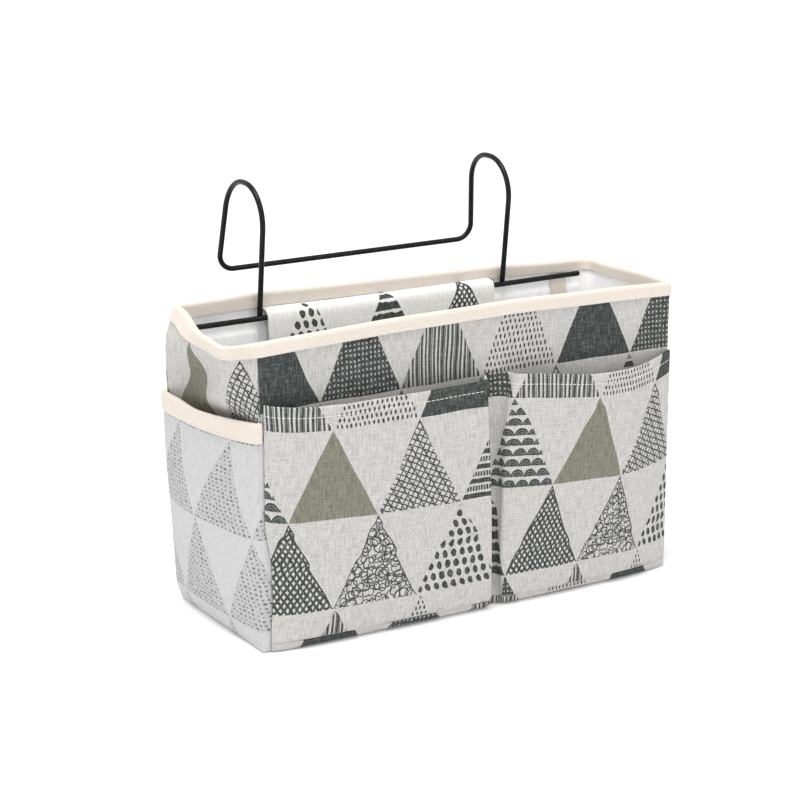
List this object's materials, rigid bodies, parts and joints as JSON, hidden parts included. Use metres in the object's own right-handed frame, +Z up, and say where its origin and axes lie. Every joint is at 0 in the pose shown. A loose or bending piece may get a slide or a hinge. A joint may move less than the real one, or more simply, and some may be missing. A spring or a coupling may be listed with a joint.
{
  "type": "bedside caddy",
  "caption": "Fabric caddy with front and side pockets that hangs on a bed rail from a bent wire hanger.",
  "frame": {"origin": "centre of the underside of the base", "axes": "+X to the right along the width, -Y out of the front pockets, +Y towards the bed, +Z up"},
  "size_m": [0.3256, 0.1635, 0.2599],
  "materials": {
    "printed_canvas": "matt woven canvas with a grey and off-white geometric print",
    "canvas_reverse": "matt pale reverse of the print",
    "twill_tape": "matt cream twill",
    "coated_lining": "white coating with a soft sheen",
    "stiffener_board": "plain board, hidden between the canvas and the lining",
    "black_wire": "gloss black steel wire"
  },
  "bodies": {
    "bag": {"base_panel": "printed_canvas", "front_panel": "printed_canvas", "rear_panel": "printed_canvas", "left_side_panel": "printed_canvas", "right_side_panel": "printed_canvas", "front_board": "stiffener_board", "rear_board": "stiffener_board", "base_board": "stiffener_board", "front_lining": "coated_lining", "rear_lining": "coated_lining", "left_side_lining": "coated_lining", "right_side_lining": "coated_lining", "base_lining": "coated_lining", "front_pocket_left": "printed_canvas", "front_pocket_right": "printed_canvas", "left_side_pocket": "canvas_reverse", "side_pocket_binding": "twill_tape", "rim_binding": "twill_tape", "rear_seam_tape": "twill_tape", "hanger_sleeve": "printed_canvas"},
    "hanger": {"cross_bar": "black_wire", "hook_wire": "black_wire"}
  },
  "joints": [
    {"name": "hanger_tilt", "type": "hinge", "parent": "bag", "child": "hanger", "pos_m": [0, 0.0436, 0.177], "axis": [1, 0, 0], "range_deg": [-7, 160]}
  ]
}
